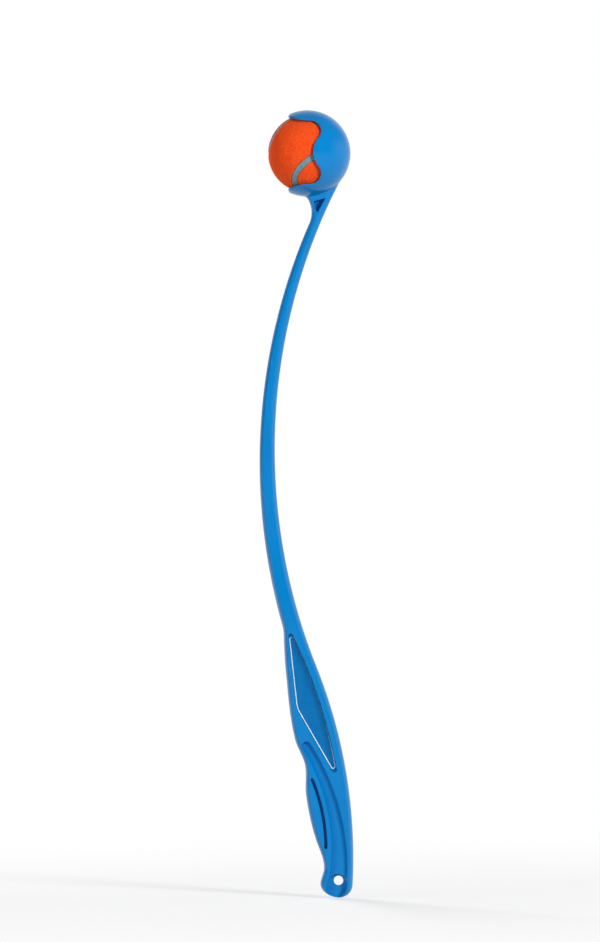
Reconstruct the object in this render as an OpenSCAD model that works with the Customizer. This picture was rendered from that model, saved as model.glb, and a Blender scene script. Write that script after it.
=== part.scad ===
// Dog ball launcher stick, in millimetres.
// The front faces -Y, +Z is up the stick, and the origin is the middle of the hang hole.

/* [Ball] */
// Diameter of the ball over the felt
ball_d = 63.5; // [62:0.5:65]
// Thickness of the felt
felt_t = 3; // [2.4:0.1:3.6]
// Glue line between the felt and the core
glue_gap = 0.3; // [0.25:0.05:0.5]
// Wall of the rubber core
core_t = 3.6; // [3:0.1:5]
// Width of the rubber seam
seam_w = 4.6; // [3.5:0.1:5.5]
// How far the seam lies below the felt
seam_drop = 0.5; // [0.2:0.1:1]
// Gap between the seam and each felt panel
seam_gap = 0.15; // [0.15:0.05:0.3]
// Share of the third harmonic in the seam curve, which sets the waist of the panels
seam_waist = 0.21; // [0.17:0.01:0.24]
// Turn of the ball about its own panel axis
ball_spin = 48; // [0:1:359]
// Turn of the panel axis about the vertical
ball_turn = -152; // [-180:1:180]
// Lean of the panel axis from the vertical
ball_lean = 113; // [0:1:180]

/* [Cup] */
// Gap between the ball and the cup
ball_gap = 0.35; // [0.2:0.05:0.7]
// Wall of the cup
cup_t = 2.7; // [2:0.1:3.4]
// Radius of the two round notches in the rim
notch_r = 8.5; // [7:0.5:10]
// Height of each notch above and below the middle of the cup
notch_rise = 17.2; // [16:0.2:19]
// How far the notch centres lie behind the middle of the cup
notch_back = 2.4; // [1:0.2:4]
// How far the tongue between the notches stops behind the middle of the cup
tongue_back = 4.5; // [3:0.5:7]
// Radius of the edge of each gripping lip
lip_r = 48; // [40:1:60]
// How far the lips reach in front of the middle of the cup
lip_reach = 15; // [13:0.5:15.5]
// How far the cup stands proud of the back edge of the arm
cup_proud = 1.1; // [0.5:0.1:2]

/* [Neck] */
// Length of the back edge from the arm to the level of the cup's middle
neck_len = 48; // [46.5:0.5:50]
// Width of the arm where the neck begins
neck_w = 8.2; // [7.5:0.1:10]
// Thickness of the neck
neck_t = 9.6; // [8.4:0.2:12]
// Radius of the flare from the arm into the cup
flare_r = 20; // [18:0.5:22]
// Width of the margin that frames the neck pocket along the back edge
pocket_margin = 4.3; // [4:0.1:5]
// Wall left between the neck pocket and the cup
pocket_wall = 4.2; // [3.5:0.1:5]
// Length of the neck pocket
pocket_len = 12.5; // [11:0.5:14]
// Depth of the neck pocket's side corner from the back edge
pocket_side = 12.2; // [11:0.1:12.6]
// Web left behind the neck pocket
pocket_web = 2.4; // [1.6:0.2:4]

/* [Arm] */
// Radius of the bow, along the back edge
arm_r = 471; // [440:1:520]
// Length of the arm, along the back edge
arm_len = 323; // [290:1:360]
// Width of the arm where the handle begins
arm_w = 15.1; // [14:0.1:16]
// Thickness of the arm below the neck, at the foot of its taper
arm_t = 12.4; // [11:0.2:14]
// Depth of the rounded nose along the back edge
nose_back = 3.3; // [2.6:0.1:3.6]
// Depth of the rounded nose along the front edge
nose_front = 2.4; // [2:0.1:3]

/* [Handle] */
// Radius of the back edge of the handle
grip_r = 415; // [390:1:440]
// Angle of the back edge where the bow turns into the handle
bend_angle = 21.8; // [19:0.1:24]
// Length of the handle above the turn of the back edge
shoulder_len = 40; // [38:1:44]
// Length over which the handle thins down into the arm
ramp_len = 70; // [50:1:100]
// Thickness of the handle
handle_t = 17; // [15.6:0.2:20]
// Width at the belly
belly_w = 34.9; // [33:0.1:37]
// Width at the finger hollow
hollow_w = 31.7; // [31:0.1:33]
// Width at the finger swell
swell_w = 34.8; // [33:0.1:36]
// Width at the waist
waist_w = 23.6; // [23:0.1:26]
// Width at the end bulb
bulb_w = 26; // [25:0.1:28]
// Length of the rounded end
end_len = 11; // [10:0.5:12]

/* [Label] */
// Distance of the label recess from the back edge
label_margin = 7.4; // [7:0.1:9]
// Angle of the upper tip about the centre of the back edge
label_top = 27.5; // [27.1:0.1:27.7]
// Angle of the lower tip about the centre of the back edge
label_low = 8.7; // [8.4:0.1:9.4]
// Angle of the side corner about the centre of the back edge
label_mid = 18.1; // [17.6:0.1:18.6]
// Depth of the side corner from the long edge
label_depth = 19.4; // [17.5:0.1:20]
// Depth of the recess
recess_d = 1.6; // [1.2:0.1:2.4]
// Thickness of the label
label_t = 0.6; // [0.4:0.1:1]
// Gap around the label
label_gap = 0.2; // [0.1:0.05:0.4]
// Rounding of the recess corners
label_round = 1.8; // [1.4:0.1:2.1]

/* [Grip grooves] */
// Radius of the back wall of the thumb channel
channel_r = 187; // [175:1:200]
// Radius of the front wall of the thumb channel
channel_front_r = 150; // [140:1:160]
// Depth of the thumb channel
channel_d = 4; // [3:0.1:5]
// Height at which the channel starts
channel_top = 112.5; // [106:0.5:113]
// Rib between the channel and the slit
rib_w = 3.3; // [2.8:0.1:3.8]
// Width of the slit
slit_w = 2.1; // [1.6:0.1:2.4]
// Depth of the slit
slit_d = 5; // [3:0.1:6]
// Angle of the slit's lower end about the centre of the channel's front wall
slit_low = 0.3; // [-1:0.1:2]
// Angle of the slit's upper end about the same centre
slit_high = 22.4; // [20:0.1:23]

/* [Hang hole] */
// Diameter of the hang hole
hole_d = 7.6; // [6:0.1:8.4]
// Distance from the hole to the back edge
hole_back = 12; // [11.6:0.1:13]
// Distance from the hole up to the upright stretch of the back edge
hole_rise = 18.2; // [17:0.1:20]
// Distance from the hole to the end of the handle
hole_end = 14.7; // [14.2:0.1:15.4]
// Wall left around the hang hole
hole_web = 3; // [2:0.2:5]
// Half width of the pocket around the hole
pocket_r = 6.9; // [6.4:0.1:7.4]

/* [Hidden] */
fine = 96;

ball_r = ball_d / 2;
core_r = ball_r - felt_t - glue_gap;
cup_ri = ball_r + ball_gap;
cup_ro = cup_ri + cup_t;

grip_c = [hole_back - grip_r, hole_rise];
arm_c = grip_c + (grip_r + arm_r) * [cos(bend_angle), sin(bend_angle)];
arm_end = shoulder_len + arm_len;
cup_s = arm_end + neck_len;
cup_off = cup_ro - cup_proud;
handle_end = -(grip_r * (bend_angle + asin((hole_rise + hole_end) / grip_r)) * PI / 180);
end_tip = 11;

// Stations on the edge of the handle: distance along the back edge, width, slope
edge = [
    [shoulder_len, arm_w, -0.022],
    [shoulder_len - 10, arm_w + 1.9, -0.31],
    [-53, belly_w, 0],
    [-76.5, hollow_w, 0],
    [-102.5, swell_w, 0],
    [-142, swell_w - 4.8, 0.26],
    [-166.5, waist_w, 0],
    [-180, bulb_w, 0],
    [-220, bulb_w, 0]
];

// The back edge is two arcs that meet where the bow turns into the handle, at distance 0.
function grip_angle(s) = bend_angle + s / grip_r * 180 / PI;
function arm_angle(s) = s / arm_r * 180 / PI - bend_angle;
function inward(s) = s <= 0
    ? -[cos(grip_angle(s)), sin(grip_angle(s))]
    : [-cos(arm_angle(s)), sin(arm_angle(s))];
function back_at(s) = s <= 0 ? grip_c - grip_r * inward(s) : arm_c + arm_r * inward(s);
function at(s, d) = back_at(s) + d * inward(s);

function smooth(u) = let (v = min(1, max(0, u))) v * v * (3 - 2 * v);

function hermite(a, b, s) =
    let (l = b[0] - a[0], u = (s - a[0]) / l)
    a[1] * (1 - 3 * u * u + 2 * u * u * u) + b[1] * (3 * u * u - 2 * u * u * u)
        + a[2] * l * (u - 2 * u * u + u * u * u) + b[2] * l * (u * u * u - u * u);
function handle_width(s, i = 0) =
    s >= edge[i + 1][0] ? hermite(edge[i], edge[i + 1], s) : handle_width(s, i + 1);
function arm_width(s) = arm_w + (neck_w - arm_w) * (s - shoulder_len) / arm_len;
function neck_width(s) =
    min(26, arm_width(s) + flare_r - sqrt(pow(flare_r, 2) - pow(min(s - arm_end, flare_r), 2)));
function width(s) = s <= shoulder_len ? handle_width(s) : s <= arm_end ? arm_width(s) : neck_width(s);

function thickness(s) =
    s <= shoulder_len ? handle_t
    : s >= arm_end ? neck_t
    : neck_t + (arm_t - neck_t) * (arm_end - s) / arm_len
        + (handle_t - arm_t) * smooth(1 - (s - shoulder_len) / ramp_len);

// A rounded nose from face to face, as pairs of depth and height
function nose(depth, half, n) =
    let (r = (depth * depth + half * half) / (2 * depth), a = asin(half / r))
    [for (i = [0 : n]) let (t = -a + 2 * a * i / n) [r - r * cos(t), r * sin(t)]];

// One section across the stick, between depths d0 and d1 from the back edge
function section(s, d0, d1, half, back, front) = [
    for (p = nose(back, half, 8)) let (q = at(s, d0 + p[0])) [q[0], p[1], q[1]],
    for (p = nose(front, half, 8)) let (q = at(s, d1 - p[0])) [q[0], -p[1], q[1]]
];
function plain_section(s) = section(s, 0, width(s), thickness(s) / 2, nose_back, nose_front);

// Sections of the rounded end close up towards its tip
function end_section(e) =
    let (
        f = sqrt(1 - pow(1 - e / end_len, 2)),
        d0 = end_tip * (1 - f),
        d1 = end_tip + (width(handle_end + e) - end_tip) * f,
        half = handle_t / 2,
        r = (pow(nose_back, 2) + half * half) / (2 * nose_back),
        h = e >= nose_back ? half : sqrt(r * r - pow(r - e, 2)),
        k = min(1, (d1 - d0) / 12)
    )
    section(handle_end + e, d0, d1, h, nose_back * k, nose_front * k);

module loft(rings) {
    n = len(rings[0]);
    last = len(rings) - 1;
    polyhedron(
        points = [for (ring = rings) for (p = ring) p],
        faces = [
            for (i = [1 : n - 2]) [0, i, i + 1],
            for (i = [1 : n - 2]) [last * n, last * n + i + 1, last * n + i],
            for (k = [0 : last - 1]) for (i = [0 : n - 1]) let (j = (i + 1) % n)
                [k * n + i, (k + 1) * n + j, k * n + j],
            for (k = [0 : last - 1]) for (i = [0 : n - 1]) let (j = (i + 1) % n)
                [k * n + i, (k + 1) * n + i, (k + 1) * n + j]
        ]
    );
}

// A flat shape drawn in X and Z, carried from y0 to y1
module slab(y0, y1) {
    translate([0, y1, 0]) rotate([90, 0, 0]) linear_extrude(y1 - y0) children();
}

module at_cup() {
    c = at(cup_s, cup_off);
    translate([c[0], 0, c[1]]) children();
}

// The mouth of the cup seen from the side: notches, tongue and lip edges are tangent arcs
module mouth_2d() {
    tongue_r = (pow(notch_back - tongue_back, 2) + pow(notch_rise, 2) - pow(notch_r, 2))
        / (2 * (notch_r + notch_back - tongue_back));
    tongue_c = tongue_back + tongue_r;
    meet = [notch_back, notch_rise] + notch_r / (notch_r + tongue_r) * [tongue_c - notch_back, -notch_rise];
    lip_rise = notch_rise + notch_r;
    difference() {
        polygon([
            [-60, -60], [notch_back, -60], [notch_back, -notch_rise], [meet[0], -meet[1]],
            [meet[0], meet[1]], [notch_back, notch_rise], [notch_back, 60], [-60, 60]
        ]);
        translate([tongue_c, 0]) circle(tongue_r, $fn = fine);
        for (side = [-1, 1]) translate([notch_back, side * (lip_rise + lip_r)]) circle(lip_r, $fn = fine);
        for (side = [-1, 1]) translate([notch_back - 2 * lip_r, side * (lip_rise + lip_r)])
            translate([0, -lip_r / 2]) square([2 * lip_r + 1, lip_r]);
    }
    for (side = [-1, 1]) translate([notch_back, side * notch_rise]) circle(notch_r, $fn = fine);
    translate([-60, -60]) square([60 - lip_reach, 120]);
}

// The neck pocket: three corners, its upper side held off the cup
module neck_pocket_2d() {
    reach = cup_ro + pocket_wall;
    s_low = cup_s - sqrt(pow(reach, 2) - pow(cup_off - pocket_margin, 2)) - pocket_len;
    difference() {
        polygon([
            at(s_low, pocket_margin + 1.2),
            at(s_low + pocket_len + 3, pocket_margin),
            at(s_low + pocket_len + 1, pocket_side + 2),
            at(s_low + 6, pocket_side)
        ]);
        translate(at(cup_s, cup_off)) circle(reach, $fn = fine);
    }
}

module cup() {
    color("#1668c8") difference() {
        union() {
            at_cup() rotate([0, 90, 0]) sphere(cup_ro, $fn = fine);
            loft([for (i = [0 : 15]) plain_section(arm_end + i * (neck_len - 9) / 15)]);
        }
        at_cup() rotate([0, 90, 0]) sphere(cup_ri, $fn = fine);
        at_cup() slab(-50, 50) mouth_2d();
        slab(-neck_t, neck_t / 2 - pocket_web) neck_pocket_2d();
    }
}

module arm() {
    color("#1a70d2")
        loft([for (i = [0 : 32]) plain_section(shoulder_len + i * arm_len / 32)]);
}

// The label recess: its long edge runs parallel to the back edge, its side corner and its tips are rounded off
function label_at(depth, angle) = grip_c + (grip_r - label_margin - depth) * [cos(angle), sin(angle)];
function on_grip(p, along, r) = let (q = p - grip_c, b = q * along) p + (sqrt(b * b - q * q + r * r) - b) * along;
function label_tip(p, along, in) = on_grip(p + label_round * in, along, grip_r - label_margin - label_round);
function turn_of(v) = atan2(v[1], v[0]);
function arc(c, r, from, to, n) = [for (i = [0 : n]) let (t = from + (to - from) * i / n) c + r * [cos(t), sin(t)]];

module label_2d(gap) {
    mid = label_at(label_depth, label_mid);
    up = unit(label_at(0, label_top) - mid);
    down = unit(label_at(0, label_low) - mid);
    in_up = [up[1], -up[0]];
    in_down = [-down[1], down[0]];
    high = label_tip(mid, up, in_up);
    low = label_tip(mid, down, in_down);
    from = mid + 5 * up + gap * in_up;
    to = mid + 5 * down + gap * in_down;
    corner = mid + gap * (in_up + in_down) / (1 + in_up * in_down);
    round = label_round - gap;
    polygon(concat(
        arc(high, round, turn_of(-in_up) + 360, turn_of(high - grip_c), 8),
        arc(grip_c, grip_r - label_margin - gap, turn_of(high - grip_c) - 0.5, turn_of(low - grip_c) + 0.5, 30),
        arc(low, round, turn_of(low - grip_c), turn_of(-in_down), 8),
        [for (i = [0 : 6]) let (u = i / 6) (1 - u) * (1 - u) * to + 2 * u * (1 - u) * corner + u * u * from]
    ));
}

function channel_back_c() = [hole_back - 4.65 - channel_r, hole_rise - 9.2];
function channel_front_c() = [hole_back - 17.9 - channel_front_r, hole_rise + 7.8];
function wall_x(c, r, z) = c[0] + sqrt(r * r - pow(z - c[1], 2));

// The thumb channel lies between two arcs and starts with a round end
module channel_2d() {
    z = channel_top - 4.5;
    back = wall_x(channel_back_c(), channel_r, z);
    front = wall_x(channel_front_c(), channel_front_r, z);
    mid = (back + front) / 2;
    lean = asin((z - channel_front_c()[1]) / channel_front_r);
    translate([mid, z]) circle((back - front) / 2 * cos(lean), $fn = 48);
    difference() {
        intersection() {
            translate(channel_back_c()) circle(channel_r, $fn = 360);
            polygon([[mid, z] + 20 * [-cos(lean), -sin(lean)], [-20, -2.4], [20, -2.4],
                [mid, z] + 40 * [cos(lean), sin(lean)]]);
        }
        translate(channel_front_c()) circle(channel_front_r, $fn = 360);
    }
}

module slit_2d() {
    c = channel_front_c();
    r = channel_front_r - rib_w - slit_w / 2;
    low = c + r * [cos(slit_low), sin(slit_low)];
    high = c + r * [cos(slit_high), sin(slit_high)];
    polygon(concat(
        arc(c, r + slit_w / 2, slit_low, slit_high, 24),
        arc(high, slit_w / 2, slit_high + 15, slit_high + 165, 10),
        arc(c, r - slit_w / 2, slit_high, slit_low, 24),
        arc(low, slit_w / 2, slit_low + 195, slit_low + 345, 10)
    ));
}

// The pocket around the hang hole, seen from the front
module end_pocket_2d() {
    translate([hole_back - 5.9 - pocket_r, -1.8]) circle(pocket_r, $fn = 48);
    translate([hole_back - 5.9 - pocket_r - 1.1, -5]) scale([1, 0.97]) circle(pocket_r + 1.1, $fn = 60);
}

// One face's share of the grooves, cut down from y = -handle_t / 2
module grip_cuts() {
    face = -handle_t / 2;
    slab(face - 1, face + channel_d) channel_2d();
    slab(face - 1, face + slit_d) slit_2d();
    slab(face - 1, -hole_web / 2) end_pocket_2d();
}

module handle() {
    n = 44;
    span = shoulder_len - handle_end - end_len;
    color("#1a70d2") difference() {
        loft([
            for (i = [0 : 9]) let (a = 90 * (i + 0.6) / 9.6) end_section(end_len * (1 - cos(a))),
            for (i = [1 : n]) plain_section(handle_end + end_len + i * span / n)
        ]);
        slab(-handle_t, recess_d - handle_t / 2) label_2d(0);
        grip_cuts();
        mirror([0, 1, 0]) grip_cuts();
        rotate([90, 0, 0]) cylinder(d = hole_d, h = 40, center = true, $fn = 64);
    }
}

module handle_label() {
    floor_y = recess_d - handle_t / 2;
    color("#124a9c") slab(floor_y - label_t, floor_y) label_2d(label_gap);
}

module at_ball() {
    at_cup() rotate([0, 0, ball_turn]) rotate([0, ball_lean, 0]) rotate([0, 0, ball_spin - 45]) children();
}

module core_half(side) {
    color("#3c4248") at_cup() intersection() {
        difference() {
            sphere(core_r, $fn = fine);
            sphere(core_r - core_t, $fn = fine);
        }
        translate([side < 0 ? -ball_d : 0, -ball_r, -ball_r]) cube([ball_d, ball_d, ball_d]);
    }
}

module ball_core_left() {
    core_half(-1);
}

module ball_core_right() {
    core_half(1);
}

function unit(v) = v / norm(v);
function seam_at(t) =
    let (b = seam_waist, a = 1 - b)
    [a * cos(t) + b * cos(3 * t), a * sin(t) - b * sin(3 * t), 2 * sqrt(a * b) * sin(2 * t)];
function seam_dir(t) =
    let (b = seam_waist, a = 1 - b)
    unit([-a * sin(t) - 3 * b * sin(3 * t), a * cos(t) - 3 * b * cos(3 * t), 4 * sqrt(a * b) * cos(2 * t)]);
function panel_edge(t, inset) = unit(seam_at(t) + inset / ball_r * cross(seam_at(t), seam_dir(t)));
function across(p, q, f) =
    let (w = acos(p * q))
    (sin((1 - f) * w) * p + sin(f * w) * q) / sin(w);

// One felt panel: rows across it from edge to edge, on the outer and the inner face
module felt_panel(turn) {
    rows = 42;
    cols = 12;
    n = cols + 1;
    count = (rows + 1) * n;
    dirs = [
        for (i = [0 : rows]) let (p = panel_edge(-43.5 + 177 * i / rows, seam_w / 2 + seam_gap))
            for (j = [0 : cols]) across(p, [-p[1], -p[0], p[2]], j / cols)
    ];
    function cell(i, j) = i * n + j;
    function quad(a, b, c, d) = [[a, b, c], [a, c, d]];
    color("#f0701c") at_ball() rotate([turn, 0, 0]) polyhedron(
        points = concat([for (d = dirs) ball_r * d], [for (d = dirs) (ball_r - felt_t) * d]),
        faces = [
            for (i = [0 : rows - 1]) for (j = [0 : cols - 1])
                each quad(cell(i, j), cell(i, j + 1), cell(i + 1, j + 1), cell(i + 1, j)),
            for (i = [0 : rows - 1]) for (j = [0 : cols - 1])
                each quad(count + cell(i, j), count + cell(i + 1, j), count + cell(i + 1, j + 1),
                    count + cell(i, j + 1)),
            for (i = [0 : rows - 1])
                each quad(cell(i, 0), cell(i + 1, 0), count + cell(i + 1, 0), count + cell(i, 0)),
            for (i = [0 : rows - 1])
                each quad(cell(i + 1, cols), cell(i, cols), count + cell(i, cols), count + cell(i + 1, cols)),
            for (j = [0 : cols - 1])
                each quad(cell(0, j + 1), cell(0, j), count + cell(0, j), count + cell(0, j + 1)),
            for (j = [0 : cols - 1])
                each quad(cell(rows, j), cell(rows, j + 1), count + cell(rows, j + 1), count + cell(rows, j))
        ]
    );
}

module ball_felt_outer() {
    felt_panel(0);
}

module ball_felt_inner() {
    felt_panel(180);
}

// The seam is a closed strip that follows the seam line, three points across each face
module ball_seam() {
    n = 96;
    r0 = ball_r - felt_t;
    r1 = ball_r - seam_drop;
    half = seam_w / 2;
    color("#8e9aa8") at_ball() polyhedron(
        points = [
            for (i = [0 : n - 1]) let (t = 360 * i / n)
                for (c = [[r1, -half], [r1, 0], [r1, half], [r0, half], [r0, 0], [r0, -half]])
                    c[0] * panel_edge(t, c[1])
        ],
        faces = [
            for (i = [0 : n - 1]) for (j = [0 : 5])
                let (a = 6 * i + j, b = 6 * i + (j + 1) % 6, next = 6 * ((i + 1) % n))
                each [[a, b, next + (j + 1) % 6], [a, next + (j + 1) % 6, next + j]]
        ]
    );
}

cup();
arm();
handle();
handle_label();
ball_core_left();
ball_core_right();
ball_felt_outer();
ball_felt_inner();
ball_seam();
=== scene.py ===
import math

import bpy
import numpy as np
from mathutils import Matrix, Vector, noise


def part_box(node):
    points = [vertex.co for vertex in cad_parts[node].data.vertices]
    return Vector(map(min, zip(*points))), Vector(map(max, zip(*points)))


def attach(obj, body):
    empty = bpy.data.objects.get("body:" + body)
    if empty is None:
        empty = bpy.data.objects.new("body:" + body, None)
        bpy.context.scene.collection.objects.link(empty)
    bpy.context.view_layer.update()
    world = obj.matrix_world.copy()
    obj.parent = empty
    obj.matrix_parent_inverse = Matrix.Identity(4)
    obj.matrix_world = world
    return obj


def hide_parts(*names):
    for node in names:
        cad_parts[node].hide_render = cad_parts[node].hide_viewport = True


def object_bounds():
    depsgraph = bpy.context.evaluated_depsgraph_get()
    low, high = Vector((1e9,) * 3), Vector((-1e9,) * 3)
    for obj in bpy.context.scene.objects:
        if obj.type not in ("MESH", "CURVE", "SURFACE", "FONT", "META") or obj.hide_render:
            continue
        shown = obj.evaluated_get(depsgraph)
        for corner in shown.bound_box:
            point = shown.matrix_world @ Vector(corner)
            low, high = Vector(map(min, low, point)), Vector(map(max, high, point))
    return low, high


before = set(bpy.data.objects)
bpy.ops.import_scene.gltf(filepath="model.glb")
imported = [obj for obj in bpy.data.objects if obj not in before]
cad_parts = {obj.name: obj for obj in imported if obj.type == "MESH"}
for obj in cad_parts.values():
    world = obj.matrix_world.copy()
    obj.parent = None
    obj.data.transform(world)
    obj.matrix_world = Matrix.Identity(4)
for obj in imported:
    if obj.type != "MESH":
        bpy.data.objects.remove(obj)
cad_low, cad_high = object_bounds()


# Launcher moulding
# Cup, arm and handle are one injection moulding in blue polypropylene with a satin skin.
# The mould parts on the middle plane, and every edge has a small radius.
# The two faces are alike, apart from the label recess and the neck pocket, which are in front only.
# Lengths here are millimetres, s runs up along the back edge and d is the depth in from it.
mm = 0.001
hole_d = 7.6
hole_back = 12.0
hole_rise = 18.2
hole_end = 14.7
grip_r = 415.0
arm_r = 471.0
bend = math.radians(21.8)
grip_x = hole_back - grip_r
grip_z = hole_rise
arm_x = grip_x + (grip_r + arm_r) * math.cos(bend)
arm_z = grip_z + (grip_r + arm_r) * math.sin(bend)
shoulder_len = 40.0
arm_len = 323.0
neck_len = 48.0
arm_end = shoulder_len + arm_len
cup_s = arm_end + neck_len
handle_end = -grip_r * (bend + math.asin((hole_rise + hole_end) / grip_r))


def stick_place(s, d):
    """X and Z of points at distance s along the back edge and depth d in from it."""
    grip = bend + s / grip_r
    arm = s / arm_r - bend
    x = np.where(s <= 0, grip_x + (grip_r - d) * np.cos(grip), arm_x - (arm_r + d) * np.cos(arm))
    z = np.where(s <= 0, grip_z + (grip_r - d) * np.sin(grip), arm_z + (arm_r + d) * np.sin(arm))
    return x, z


def stick_coords(x, z):
    """Distance along the back edge and depth in from it, of points given by X and Z."""
    grip = (np.arctan2(z - grip_z, x - grip_x) - bend) * grip_r
    arm = (np.arctan2(z - arm_z, arm_x - x) + bend) * arm_r
    grip_d = grip_r - np.hypot(x - grip_x, z - grip_z)
    arm_d = np.hypot(x - arm_x, z - arm_z) - arm_r
    return np.where(grip <= 0, grip, arm), np.where(grip <= 0, grip_d, arm_d)


def round_max(a, b, r):
    """The common part of two shapes, with its outer edge rounded to radius r."""
    return np.minimum(-r, np.maximum(a, b)) + np.hypot(np.maximum(a + r, 0), np.maximum(b + r, 0))


def round_min(a, b, r):
    """Two shapes joined, with a fillet of radius r between them."""
    return -round_max(-a, -b, r)


def smooth(u):
    """A soft step from 0 to 1."""
    u = np.clip(u, 0, 1)
    return u * u * (3 - 2 * u)


# The front edge: stations on the handle as distance along the back edge, width and slope, then arm and neck
arm_w = 15.1
neck_w = 8.2
flare_r = 20.0
flare_w = 26.0
handle_edge = np.array([
    (-220, 26.0, 0),
    (-180, 26.0, 0),
    (-166.5, 23.6, 0),
    (-142, 30.0, 0.26),
    (-102.5, 34.8, 0),
    (-76.5, 31.7, 0),
    (-53, 34.9, 0),
    (shoulder_len - 10, arm_w + 1.9, -0.31),
    (shoulder_len, arm_w, -0.022),
])


def stick_width(s):
    """Width of the stick from its back edge to its front edge."""
    place, wide, slope = handle_edge.T
    i = np.clip(np.searchsorted(place, s) - 1, 0, len(place) - 2)
    step = place[i + 1] - place[i]
    u = np.clip((s - place[i]) / step, 0, 1)
    ends = slope[i] * u * (1 - u) ** 2 - slope[i + 1] * u * u * (1 - u)
    handle = wide[i] + (wide[i + 1] - wide[i]) * smooth(u) + step * ends
    arm = arm_w + (neck_w - arm_w) * (s - shoulder_len) / arm_len
    up = np.clip(s - arm_end, 0, flare_r)
    neck = arm + flare_r - np.sqrt(flare_r**2 - up**2)
    return np.where(s <= shoulder_len, handle, np.minimum(flare_w, neck))


handle_t = 17.0
arm_t = 12.4
neck_t = 9.6
ramp_len = 70.0


def stick_half(s):
    """Half the thickness of the stick."""
    share = np.clip((arm_end - s) / arm_len, 0, 1)
    ramp = (handle_t - arm_t) * smooth(1 - (s - shoulder_len) / ramp_len)
    return np.where(s <= shoulder_len, handle_t, neck_t + (arm_t - neck_t) * share + ramp) / 2


# The section: round noses along both edges, flatter on the arm, and a slight crown on the arm's faces
nose_back = 3.3
nose_front = 2.4
arm_nose = 1.9
crease_r = 0.9
arm_crown = 0.3
end_len = 11.0
end_tip = 11.0


def stick_shape(s, d, side):
    """How far points lie outside the plain stick, before anything is cut into it."""
    wide = stick_width(s)
    half = stick_half(s)
    past = np.maximum(handle_end + end_len - s, 0)
    span = np.where(d < end_tip, end_tip, wide - end_tip)
    off = np.abs(d - end_tip)
    q = np.hypot(past / end_len, off / span)
    slope = np.maximum(np.hypot(past / end_len**2, off / span**2), 1e-6)
    inset = np.where(past > 0, (1 - q) * np.maximum(q, 0.05) / slope, np.minimum(d, wide - d))
    nose = nose_back + (nose_front - nose_back) * smooth(d / wide * 2 - 0.5)
    chord = np.hypot(nose, half)
    on_arm = smooth((s - shoulder_len / 2) / ramp_len)
    r = chord**2 / (2 * nose) * (1 + (arm_nose - 1) * on_arm)
    reach = np.sqrt(r**2 - chord**2 / 4) / chord
    edge = np.hypot(np.minimum(inset - nose / 2 - half * reach, 0), side - half / 2 + nose * reach) - r
    crown = arm_crown * on_arm * (2 * d / wide - 1) ** 2
    return round_max(edge, side - half + np.minimum(crown, arm_crown), crease_r)


# The grip: a thumb channel whose floor comes up softly to the front, a slit and the label recess
channel_back_r = 186.0
channel_back = (hole_back - 5.65 - channel_back_r, hole_rise - 9.2)
channel_front_r = 150.0
channel_front = (hole_back - 17.9 - channel_front_r, hole_rise + 7.8)
channel_top = 108.0
channel_low = -2.4
channel_d = 4.0
channel_slope = 1.6
channel_floor_r = 2.2
channel_rim = 0.6
channel_rim_gain = 1.7
channel_rim_from = 2.0
channel_rim_len = 4.0
slit_w = 2.1
slit_d = 5.0
slit_rim = 0.65
slit_r = channel_front_r - 3.3 - slit_w / 2
slit_ends = (math.radians(0.3), math.radians(22.4))
label_r = grip_r - 7.4
label_ends = (math.radians(8.7), math.radians(27.5))
label_mid = (label_r - 19.4, math.radians(18.1))
label_round = 1.8
label_tip = math.radians(21.5)
label_blend = 2.6
recess_d = 1.6
recess_rim = 0.55


def arc_x(centre, r, z):
    """X on the right half of a circle at height z."""
    return centre[0] + math.sqrt(r * r - (z - centre[1]) ** 2)


def round_the_grip(r, angle):
    """X and Z at a radius and angle about the middle of the grip's bend."""
    return grip_x + r * math.cos(angle), grip_z + r * math.sin(angle)


def past_line(x, z, a, b):
    """How far points lie to the left of the line from a to b."""
    length = math.hypot(b[0] - a[0], b[1] - a[1])
    return ((b[0] - a[0]) * (z - a[1]) - (b[1] - a[1]) * (x - a[0])) / length


def label_shape(x, z):
    """How far points lie outside the kite of the label recess, seen from the front."""
    low, high = (round_the_grip(label_r, a) for a in label_ends)
    corner = round_the_grip(*label_mid)
    upper = past_line(x, z, corner, high)
    lower = past_line(x, z, low, corner)
    bulge = np.maximum(label_blend - np.abs(upper - lower), 0) ** 2 / (4 * label_blend)
    front = np.maximum(upper, lower) + bulge
    long_edge = np.hypot(x - grip_x, z - grip_z) - label_r
    a = front + label_round
    b = long_edge + label_round
    lean = math.cos(label_tip)
    spike = np.sqrt(np.maximum(a * a + b * b + 2 * a * b * lean, 0)) / math.sin(label_tip)
    beyond = (a * lean + b > 0) & (b * lean + a > 0)
    return np.where(beyond, spike, np.maximum(a, b)) - label_round


# The end pocket: a round and a wider bowl below it, with a web between the faces that holds the hang hole
hole_web = 3.0
hole_rim = 0.5
pocket_r = 6.9
pocket_margin = 5.9
pocket = (hole_back - pocket_margin - pocket_r, -1.8)
bowl_r = 8.0
bowl = (hole_back - pocket_margin - bowl_r, -5.0)
bowl_size = (bowl_r, bowl_r * 0.97)
pocket_blend = 2.5
pocket_floor_r = 1.2
pocket_rim = 0.7
pocket_rim_gain = 0.9
pocket_rim_from = -3.0
pocket_rim_len = 5.0


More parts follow.
